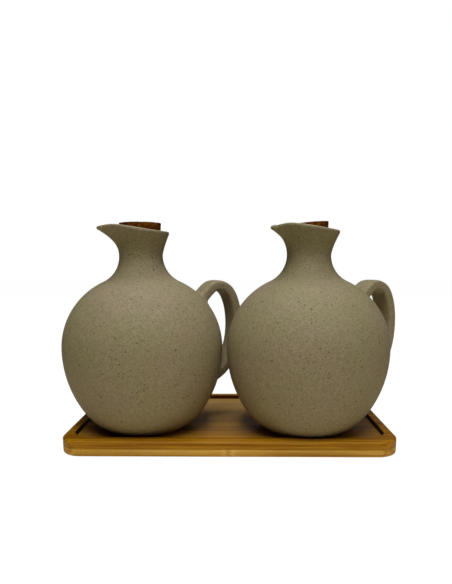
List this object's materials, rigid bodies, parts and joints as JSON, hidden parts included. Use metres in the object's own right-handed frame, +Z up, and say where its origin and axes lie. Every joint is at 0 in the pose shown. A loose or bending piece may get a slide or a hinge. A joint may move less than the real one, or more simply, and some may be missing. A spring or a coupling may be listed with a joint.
{
  "type": "cruet set",
  "caption": "Round stoneware cruets with strap handles, pouring beaks and tapered cork stoppers, standing in the shallow recess of a laminated bamboo tray.",
  "frame": {"origin": "centre of the tray's flat underside", "axes": "+Z up, +X along the tray to the right as seen from its front, -Y towards the tray's front edge"},
  "size_m": [0.2334, 0.1346, 0.1461],
  "materials": {
    "bamboo_light": "satin oiled bamboo, strips along the tray",
    "bamboo_dark": "satin oiled caramel bamboo, strips along the tray",
    "stoneware": "matte speckled stoneware",
    "cork": "matte natural cork"
  },
  "bodies": {
    "tray": {"tray_lower_ply": "bamboo_light", "tray_upper_ply": "bamboo_dark"},
    "left_cruet": {"left_jug_body": "stoneware", "left_jug_handle": "stoneware"},
    "left_stopper": {"left_cork_stopper": "cork"},
    "right_cruet": {"right_jug_body": "stoneware", "right_jug_handle": "stoneware"},
    "right_stopper": {"right_cork_stopper": "cork"}
  },
  "joints": [
    {"name": "left_cruet_lift", "type": "slide", "parent": "tray", "child": "left_cruet", "axis": [0, 0, 1], "range_m": [0, 0.16]},
    {"name": "left_stopper_pull", "type": "slide", "parent": "left_cruet", "child": "left_stopper", "axis": [0, 0, 1], "range_m": [0, 0.03]},
    {"name": "right_cruet_lift", "type": "slide", "parent": "tray", "child": "right_cruet", "axis": [0, 0, 1], "range_m": [0, 0.16]},
    {"name": "right_stopper_pull", "type": "slide", "parent": "right_cruet", "child": "right_stopper", "axis": [0, 0, 1], "range_m": [0, 0.03]}
  ]
}
